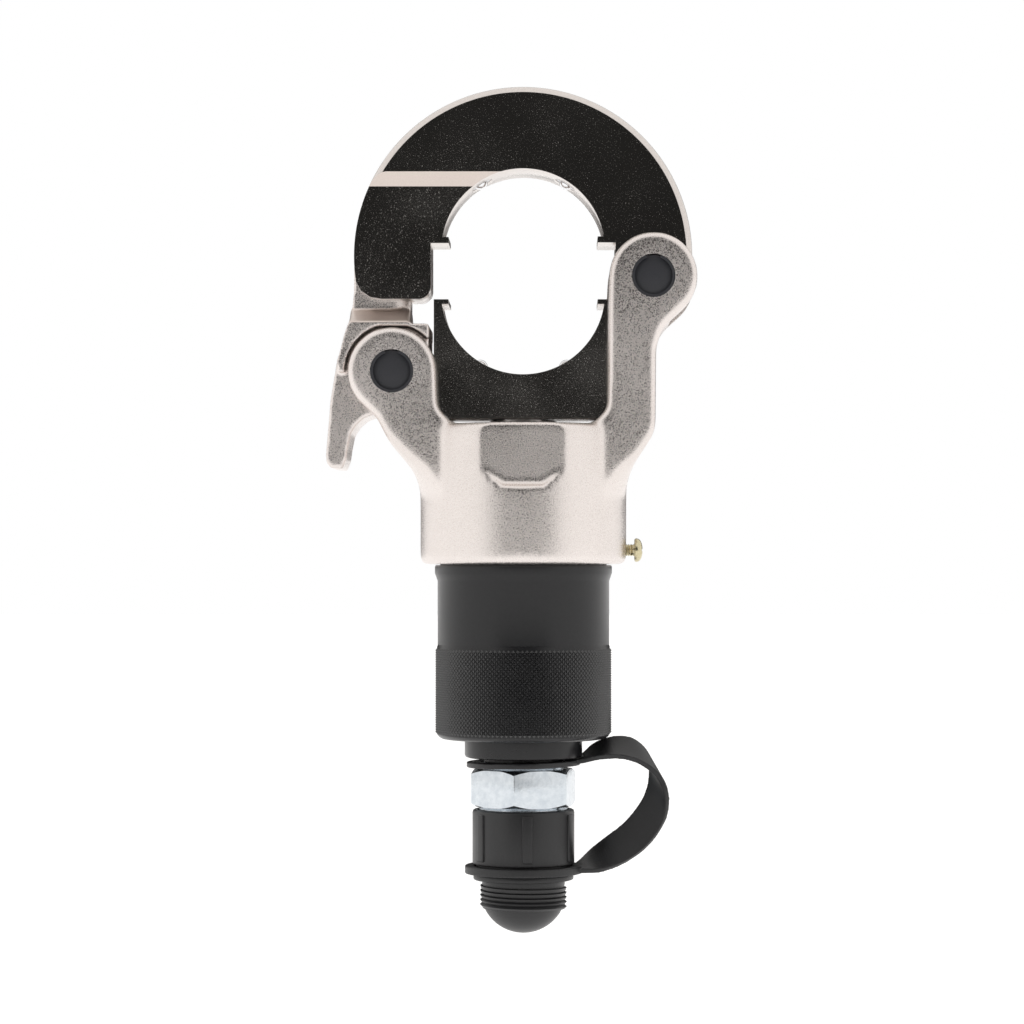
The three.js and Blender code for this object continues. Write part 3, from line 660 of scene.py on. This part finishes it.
shank = [(0, 28.3), (1.5, 28.3), (CREST, 28.8)]
for k in range(4):
    shank += [(CREST, 33.5 + k * SCREW_PITCH), (ROOT, 33.9 + k * SCREW_PITCH)]
pan = [(CREST, 36.7), (CREST, 37), (3.5, 37), (3.85, 37.25), (3.95, 37.7), (3.8, 38.3), (3.3, 38.95)]
pan += [(2.4, 39.4), (1.3, 39.65), (0, 39.7)]
screw = turn("lock_screw_pan", shank + pan, "X", (0, 0, SCREW_Z), 64)
carve(screw, block(38.1, 41, -2.1, 2.1, SCREW_Z - 0.35, SCREW_Z + 0.35))
carve(screw, block(38.1, 41, -0.35, 0.35, SCREW_Z - 2.1, SCREW_Z + 2.1))
paint(screw, YELLOW)
hand_over(screw, "yoke", "yellow_zinc", "lock_screw")

# %% [markdown]
# ## The cylinder
#
# The cylinder is turned steel, blacked, with a smooth waist above and a diamond knurl below for a hand's
# grip. The body is one spun profile. The knurl is thousands of equal diamonds, so Geometry Nodes lays
# one small pyramid on a staggered grid that wraps round the cylinder.

# %% Turn the cylinder
hub = [(9, 32.5), (18.6, 32.5), (19.3, 32.8), (19.6, 33.5), (19.6, 38.5), (19.8, 38.7), (26.2, 38.7)]
grip = [(27.2, 38.85), (28.1, 39.4), (28.7, 40.1), (28.8, 40.6), (28.8, 69.4), (28.6, 69.8)]
waist = [(28.6, 70.2), (28.6, 91.3), (28.75, 91.7), (29.3, 93.3), (29.5, 93.9), (29.5, 96.0), (29.2, 96.5)]
inside = [(27.7, 96.5), (27.7, 123), (27, 123.7), (23.8, 123.7), (23, 122.9), (23, 46), (9, 46)]
barrel = turn("barrel_turned", hub + grip + waist + inside, steps=160)
paint(barrel, BARREL)
hand_over(barrel, "yoke", "black_barrel", "cylinder_barrel", sharp=28)

# %% A Geometry Nodes kit
def new_tree(name, inputs):
    """Starts a tree with named inputs, and returns it, its input sockets and their identifiers."""
    tree = bpy.data.node_groups.new(name, "GeometryNodeTree")
    tree.interface.new_socket("Geometry", in_out="OUTPUT", socket_type="NodeSocketGeometry")
    keys = {}
    for label, kind in inputs.items():
        socket = tree.interface.new_socket(label, in_out="INPUT", socket_type="NodeSocket" + kind)
        keys[label] = socket.identifier
    return tree, add(tree, "NodeGroupInput").outputs, keys


def end_tree(tree, geometry, material):
    real = add(tree, "GeometryNodeRealizeInstances", {0: geometry}).outputs[0]
    painted = add(tree, "GeometryNodeSetMaterial", {"Geometry": real, "Material": material})
    add(tree, "NodeGroupOutput", {0: painted.outputs["Geometry"]})


def round_place(tree, angle, radius, height):
    """The point at an angle and a radius round the Z axis."""
    across = reckon(tree, "MULTIPLY", reckon(tree, "COSINE", angle), radius)
    deep = reckon(tree, "MULTIPLY", reckon(tree, "SINE", angle), radius)
    return add(tree, "ShaderNodeCombineXYZ", {0: across, 1: deep, 2: height}).outputs[0]


def lay(tree, spots, shape, turned):
    """Puts one shape on every point."""
    inputs = {"Points": spots, "Instance": shape, "Rotation": turned}
    return add(tree, "GeometryNodeInstanceOnPoints", inputs).outputs[0]


def grow(name, tree, keys, values):
    """Runs a tree on an empty mesh and keeps the result as plain mesh."""
    piece = bpy.data.objects.new(name, bpy.data.meshes.new(name))
    bpy.context.scene.collection.objects.link(piece)
    modifier = piece.modifiers.new("grow", "NODES")
    modifier.node_group = tree
    for label, value in values.items():
        modifier[keys[label]] = value
    freeze(piece)
    print(name, "grown:", len(piece.data.polygons), "faces")
    return piece


print("helpers ready: new_tree, end_tree, round_place, lay, grow")


# %% Build the knurl's tree
tree, given, knurl_keys = new_tree(
    "diamond_knurl",
    {
        "Columns": "Int",
        "Rows": "Int",
        "Radius": "Float",
        "Low": "Float",
        "Step": "Float",
        "Half Width": "Float",
        "Height": "Float",
        "Material": "Material",
    },
)
index = add(tree, "GeometryNodeInputIndex").outputs[0]
row = reckon(tree, "FLOOR", reckon(tree, "DIVIDE", index, given["Columns"]))
column = reckon(tree, "MODULO", index, given["Columns"])
stagger = reckon(tree, "MULTIPLY", reckon(tree, "MODULO", row, 2.0), 0.5)
around = reckon(tree, "DIVIDE", reckon(tree, "ADD", column, stagger), given["Columns"])
angle_round = reckon(tree, "MULTIPLY", around, 2 * math.pi)
rise = reckon(tree, "MULTIPLY_ADD", row, given["Step"], given["Low"])
count = reckon(tree, "MULTIPLY", given["Columns"], given["Rows"])
spot = round_place(tree, angle_round, given["Radius"], rise)
spots = add(tree, "GeometryNodePoints", {"Count": count, "Position": spot}).outputs[0]
pyramid = add(
    tree,
    "GeometryNodeMeshCone",
    {
        "Vertices": 4,
        "Radius Bottom": given["Half Width"],
        "Radius Top": reckon(tree, "MULTIPLY", given["Half Width"], 0.12),
        "Depth": given["Height"],
    },
)
outwards = add(tree, "ShaderNodeCombineXYZ", {1: math.pi / 2, 2: angle_round}).outputs[0]
end_tree(tree, lay(tree, spots, pyramid.outputs["Mesh"], outwards), given["Material"])
knurl_tree = tree
print("knurl tree", len(tree.nodes), "nodes")

# %% Knurl the grip
COLUMNS = 118
GRIP_LOW, GRIP_HIGH = 41.1, 68.7

half_width = math.pi * 29.05 / COLUMNS
knurl = grow(
    "barrel_knurl",
    knurl_tree,
    knurl_keys,
    {
        "Columns": COLUMNS,
        "Rows": int((GRIP_HIGH - GRIP_LOW) / half_width) + 1,
        "Radius": 28.76 * MM,
        "Low": GRIP_LOW * MM,
        "Step": half_width * MM,
        "Half Width": half_width * 0.99 * MM,
        "Height": 0.6 * MM,
        "Material": KNURL,
    },
)
hand_over(knurl, "yoke", "black_barrel", sharp=10)

# %% [markdown]
# ## The hose coupler
#
# Below the cylinder sits the zinc-plated male coupler: a hexagon for the spanner, a shoulder and a
# threaded nose that goes into the cap. The hexagon is a six-sided prism whose ends are chamfered by a
# spun cutter, as on a real bar-turned nut. The thread is a four-sided wire on a spiral.

# %% Turn the coupler and mill its hexagon
HEX_LOW, HEX_HIGH = 16.2, 28.8
HEX_ANGLE = math.radians(-90 - 9.2)  # the corner nearest the front
hex_r = 16 / math.cos(math.pi / 6)

prism = [(0, HEX_LOW), (hex_r, HEX_LOW), (hex_r, HEX_HIGH), (0, HEX_HIGH)]
hexagon = turn("coupler_turned", prism, steps=6, start=HEX_ANGLE)
cutter = [(0, HEX_LOW), (15.4, HEX_LOW), (16.4, 16.4), (18.6, 17.7), (18.6, 27.3), (16.4, 28.6)]
cutter += [(15.4, HEX_HIGH), (0, HEX_HIGH)]
carve(hexagon, turn("chamfer", cutter, steps=128), how="INTERSECT")
nose = [(0, 0), (9, 0), (9.4, 0.2), (9.5, 0.6), (9.5, 1), (12.7, 1), (13.2, 1.6), (13.2, 14.2), (14.2, 14.3)]
collar = [(14.7, 14.5), (14.7, 14.7), (14.3, 15.0), (14.7, 15.3), (14.7, 15.5), (14.3, 15.8), (14.7, 16.1)]
neck = [(14.7, 16.5), (13.5, 16.5), (13.5, 28.9), (13.0, 29.2), (13.5, 29.5), (13.5, 29.8), (13.0, 30.1)]
tail = [(13.5, 30.4), (13.2, 30.9), (8.7, 30.9), (8.7, 43.4), (8.1, 44), (0, 44)]
weld(hexagon, turn("stem", nose + collar + neck + tail, steps=128))
passage = [(0, -1), (8, -1), (8, 3), (6, 3), (6, 24.3), (3.2, 24.3), (3.2, 46), (0, 46)]
carve(hexagon, turn("passage", passage, steps=64))
break_edges(hexagon, 0.12, angle=34)
paint(hexagon, ZINC)
hand_over(hexagon, "yoke", "bright_zinc", "coupler_body", sharp=30)

# %% Build the winding tree
tree, given, winding_keys = new_tree(
    "winding",
    {
        "Turns": "Float",
        "Radius": "Float",
        "Length": "Float",
        "Start": "Float",
        "Wire": "Float",
        "Sides": "Int",
        "Material": "Material",
    },
)
spiral = add(
    tree,
    "GeometryNodeCurveSpiral",
    {
        "Resolution": 72,
        "Rotations": given["Turns"],
        "Start Radius": given["Radius"],
        "End Radius": given["Radius"],
        "Height": given["Length"],
    },
)
wire = add(
    tree, "GeometryNodeCurvePrimitiveCircle", {"Resolution": given["Sides"], "Radius": given["Wire"]}
)
sweep = add(
    tree,
    "GeometryNodeCurveToMesh",
    {"Curve": spiral.outputs[0], "Profile Curve": wire.outputs[0], "Fill Caps": True},
)
lift = add(tree, "ShaderNodeCombineXYZ", {2: given["Start"]}).outputs[0]
lifted = add(tree, "GeometryNodeTransform", {"Geometry": sweep.outputs[0], "Translation": lift})
end_tree(tree, lifted.outputs[0], given["Material"])
winding_tree = tree
print("winding tree", len(tree.nodes), "nodes")

# %% Wind the coupler's thread
PITCH = 1.5


def wind(name, turns, radius, low, length, wire, sides, material):
    values = {
        "Turns": turns,
        "Radius": radius * MM,
        "Length": length * MM,
        "Start": low * MM,
        "Wire": wire * MM,
        "Sides": sides,
        "Material": material,
    }
    return grow(name, winding_tree, winding_keys, values)


nose_thread = wind("coupler_thread", 7.0, 13.25, 2.4, 7 * PITCH, 0.68, 4, ZINC)
hand_over(nose_thread, "yoke", "bright_zinc", sharp=20)

# %% [markdown]
# ## The springs
#
# A compression spring has one end on each of two bodies, and it shortens as they close. It is the same
# winding as a thread, with a round wire. Each spring is wound at rest, swung into place where it serves a
# detent, and left still; it is not tied to either of its bodies.

# %% Wind the springs
def spring(name, node, turns, radius, wire, low, high, detent=None):
    """Winds a coil from low to high, swung to a detent if one is named, and hides the solid that it stands
    for. Its high end is the held one and its low end the moving one, but the coil is tied to no body.
    """
    coil = wind(name, turns, radius, low, high - low, wire, 8, WIRE)
    held, moving = Vector((0, 0, high * MM)), Vector((0, 0, low * MM))
    if detent:
        swing([*(vertex.co for vertex in coil.data.vertices), held, moving], *DETENTS[detent])
    coil.data.shade_smooth()
    coil.data.set_sharp_from_angle(angle=math.radians(50))
    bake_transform(coil)
    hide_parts(node)


spring("ram_spring", "return_spring", 7.0, 17.5, 1.5, 59.9, 122.1)
spring("poppet_spring", "coupler_poppet_spring", 4.5, 3.8, 0.45, 6.8, 23.5)
for side in DETENTS:
    spring("ball_spring_" + side, "detent_spring_" + side, 3.0, 1.8, 0.33, 30.9, 35.4, side)

# %% [markdown]
# ## The dust cap
#
# The cap is a black moulding: six ribs round a cylinder, a groove for the strap, a flange, a threaded
# plug and a dome. Its body is spun, the ribs are one rib repeated round the axis, and the plug's thread
# is the same winding as before.

# %% Mould the cap
DOME_R, DOME_Z = 14.4, -11.6
bows = [k * 0.1 for k in range(1, 11)]

dome = [(0, -26)] + [(DOME_R * math.sin(t), DOME_Z - DOME_R * math.cos(t)) for t in bows]
plug = [(13.0, -17.8), (13.6, -17.6), (13.7, -10.0), (13.8, -9.8), (13.8, -8.4), (14.0, -8.2)]
flange = [(16.2, -8.2), (16.6, -8.0), (16.7, -7.6), (16.7, -6.6), (16.5, -6.2)]
groove = [(15.8, -6.2), (15.8, -3), (16.5, -3), (16.9, -2.7)]
wall = [(17, -2.2), (17, 14.2), (16.8, 14.9), (16.3, 15.2), (15.2, 15.2), (15.2, 13.9), (14.3, 13.4)]
cavity = [(14.3, -0.9), (10.5, -0.9), (10.5, -18.9), (9.4, -20), (0, -20)]
cap = turn("cap_moulding", dome + plug + flange + groove + wall + cavity, steps=128)
paint(cap, PLASTIC)
hand_over(cap, "cap", "black_plastic", "dust_cap", sharp=30)

# %% Build the ribs' tree
tree, given, rib_keys = new_tree(
    "ribs_round",
    {
        "Count": "Int",
        "Radius": "Float",
        "Turn": "Float",
        "Middle": "Float",
        "Size": "Vector",
        "Material": "Material",
    },
)
number = add(tree, "GeometryNodeInputIndex").outputs[0]
share = reckon(tree, "DIVIDE", number, given["Count"])
bearing = reckon(tree, "MULTIPLY_ADD", share, 2 * math.pi, given["Turn"])
rib_spot = round_place(tree, bearing, given["Radius"], given["Middle"])
spots = add(tree, "GeometryNodePoints", {"Count": given["Count"], "Position": rib_spot}).outputs[0]
rib = add(tree, "GeometryNodeMeshCube", {"Size": given["Size"]}).outputs["Mesh"]
facing = add(tree, "ShaderNodeCombineXYZ", {2: bearing}).outputs[0]
end_tree(tree, lay(tree, spots, rib, facing), given["Material"])
rib_tree = tree
print("rib tree", len(tree.nodes), "nodes")

# %% Grow the ribs and the plug's thread
ribs = grow(
    "cap_ribs",
    rib_tree,
    rib_keys,
    {
        "Count": 6,
        "Radius": 16.75 * MM,
        "Turn": math.radians(-85),
        "Middle": 6.2 * MM,
        "Size": (1.5 * MM, 3.4 * MM, 15.6 * MM),
        "Material": PLASTIC,
    },
)
break_edges(ribs, 0.35, angle=30, segments=3)
paint(ribs, PLASTIC)
hand_over(ribs, "cap", "black_plastic")
plug_thread = wind("plug_thread", 4.6, 13.75, -17.2, 4.6 * PITCH, 0.72, 4, PLASTIC)
hand_over(plug_thread, "cap", "black_plastic", sharp=20)

# %% [markdown]
# ## The strap
#
# The strap is one soft moulding with an eye at each end. Its band twists as it comes round, so it is
# drawn by its two edges: each pair below is a point on the front edge and one on the rear edge, and a
# smooth curve goes through each row. One eye sits on the cylinder's hub and the other travels with the
# cap, but here the strap is made as one still piece and is not tied to either body.

# %% Lay out the band
BAND = [
    ((14.5, -6, 31.2), (14.5, 6, 31.2)),
    ((19.5, -6, 31.6), (19, 6, 32.0)),
    ((26, -5.2, 32.7), (24, 5.6, 36.4)),
    ((33, -4.6, 32.7), (30, 5, 38.6)),
    ((39, -4.2, 30.8), (35.5, 4.4, 38.4)),
    ((44, -3.8, 27.3), (39.5, 4, 35.6)),
    ((47, -3.4, 22.8), (42, 3.4, 31)),
    ((48, -3.2, 17.5), (42.3, 3.2, 26)),
    ((47, -2.8, 11.8), (41, 2.8, 20.5)),
    ((43.5, -2.6, 5.8), (37.7, 2.6, 14.8)),
    ((38.5, -2.6, 0.8), (33, 2.8, 9.6)),
    ((32.2, -3, -3), (28, 3.6, 5.6)),
    ((25.5, -4, -5), (23, 5.6, 1.2)),
    ((20.5, -5, -5), (19.5, 7, -2.6)),
    ((17.2, -6, -4.7), (17, 7, -4.7)),
]
HALF_THICK = 0.9


def smooth_row(points, steps):
    """A Catmull-Rom curve through the points."""
    padded = [points[0], *points, points[-1]]
    out = []
    for i in range(len(points) - 1):
        a, b, c, d = (Vector(p) for p in padded[i : i + 4])
        for k in range(steps):
            t = k / steps
            point = 2 * b + (c - a) * t
            point += (2 * a - 5 * b + 4 * c - d) * t**2
            point += (3 * b - a - 3 * c + d) * t**3
            out.append(0.5 * point)
    return [*out, Vector(points[-1])]


front = smooth_row([pair[0] for pair in BAND], 8)
rear = smooth_row([pair[1] for pair in BAND], 8)
print("band", round(sum((b - a).length for a, b in zip(front, front[1:])), 1), "mm along its front edge")

# %% Mould the strap
corners, faces = [], []
for i, (f, r) in enumerate(zip(front, rear)):
    j, k = max(i - 1, 0), min(i + 1, len(front) - 1)
    ahead = (front[k] - front[j] + rear[k] - rear[j]).normalized()
    up = (r - f).cross(ahead).normalized() * HALF_THICK
    corners += [tuple(p) for p in (f + up, r + up, r - up, f - up)]
for i in range(len(front) - 1):
    faces += [[4 * i + k, 4 * i + (k + 1) % 4, 4 * i + 4 + (k + 1) % 4, 4 * i + 4 + k] for k in range(4)]
faces += [[0, 1, 2, 3], [len(corners) - 1 - k for k in range(4)]]
strap = mesh_piece("strap_moulding", corners, faces)
neck_eye = turn("neck_eye", [(14.2, 29.6), (18.9, 29.6), (18.9, 31.4), (14.2, 31.4)])
for v in neck_eye.data.vertices:
    v.co.z += v.co.x * math.tan(math.radians(1.2))  # the band pulls this eye a little askew
cap_eye = turn("cap_eye", [(16.2, -6), (19.5, -6), (19.5, -3.4), (16.2, -3.4)])
weld(strap, neck_eye, cap_eye)
carve(strap, rod("clear_neck", 14.2, 24, 34))
carve(strap, rod("clear_cap", 16.2, -12, 2))
carve(strap, rod("clear_hub", 20.0, 32.1, 42))
soften(strap, 0.3, 2)
print("strap", len(strap.data.polygons), "faces")

# %% Shade and paint the strap, and hide the solids it replaces
strap.data.shade_smooth()
paint(strap, RUBBER)
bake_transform(strap)
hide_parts("strap_neck_eye", "strap_band", "strap_cap_eye")

# %% [markdown]
# ## The floor and the light
#
# Polished metal shows what stands around it. This product table has bright walls to the left, to the
# right and above, and a dark gap where the camera stands. So the world is bright round the sides and dark
# towards the front and the back, and flat ground faces turn into dark mirrors. The camera itself sees a
# plain white backdrop.

# %% Lay the floor
floor_mesh = bpy.data.meshes.new("floor")
floor_mesh.from_pydata([(-6, -3, 0), (6, -3, 0), (6, 9, 0), (-6, 9, 0)], [], [[0, 1, 2, 3]])
floor = bpy.data.objects.new("floor", floor_mesh)
floor.location = (0, 0, -0.075)
bpy.context.scene.collection.objects.link(floor)
paper = bpy.data.materials.new("paper")
paper.use_nodes = True
sheet = paper.node_tree.nodes["Principled BSDF"]
sheet.inputs["Base Color"].default_value = (0.9, 0.9, 0.9, 1)
sheet.inputs["Roughness"].default_value = 0.9
sheet.inputs["Emission Color"].default_value = (1, 1, 1, 1)
sheet.inputs["Emission Strength"].default_value = 0.32
floor_mesh.materials.append(paper)
print("floor laid")

# %% Light the room
GAP_DARK, GAP_BRIGHT = 25, 44  # degrees off the front, where the dark gap starts to fade and has gone

world = bpy.data.worlds.new("room")
bpy.context.scene.world = world
world.use_nodes = True
room = world.node_tree
room.nodes.clear()
direction = add(room, "ShaderNodeTexCoord").outputs["Generated"]
parts = add(room, "ShaderNodeSeparateXYZ", {0: direction}).outputs
gap = add(
    room,
    "ShaderNodeMapRange",
    {
        "Value": reckon(room, "ABSOLUTE", parts[1]),
        "From Min": math.cos(math.radians(GAP_DARK)),
        "From Max": math.cos(math.radians(GAP_BRIGHT)),
        "To Min": 0.03,
        "To Max": 1.05,
    },
    interpolation_type="SMOOTHSTEP",
).outputs["Result"]
walls = add(room, "ShaderNodeBackground", {"Color": (1, 0.985, 0.97, 1), "Strength": gap})
backdrop = add(room, "ShaderNodeBackground", {"Color": (1, 1, 1, 1), "Strength": 1.0})
seen = add(room, "ShaderNodeLightPath").outputs["Is Camera Ray"]
choose = add(room, "ShaderNodeMixShader", {0: seen, 1: walls.outputs[0], 2: backdrop.outputs[0]})
add(room, "ShaderNodeOutputWorld", {"Surface": choose.outputs[0]})
bpy.context.scene.view_settings.view_transform = "Standard"
print("room lit")

# %% [markdown]
# ## The camera
#
# A long lens far from the object keeps its upright lines parallel, as in a product picture. The lens is
# shifted rather than tilted, so that the head stands off centre and still stays upright.

# %% Stand the camera
lens = bpy.data.cameras.new("camera")
camera = bpy.data.objects.new("camera", lens)
bpy.context.scene.collection.objects.link(camera)
camera.location = (0.0122, -1.05, 0.098)
camera.rotation_euler = (math.pi / 2, 0, 0)
lens.sensor_width = 36
lens.lens = 110.7
lens.shift_x, lens.shift_y = -0.0469, 0.0475
lens.clip_start, lens.clip_end = 0.01, 50
bpy.context.scene.camera = camera
print("camera", round(-camera.location.y, 2), "m in front")
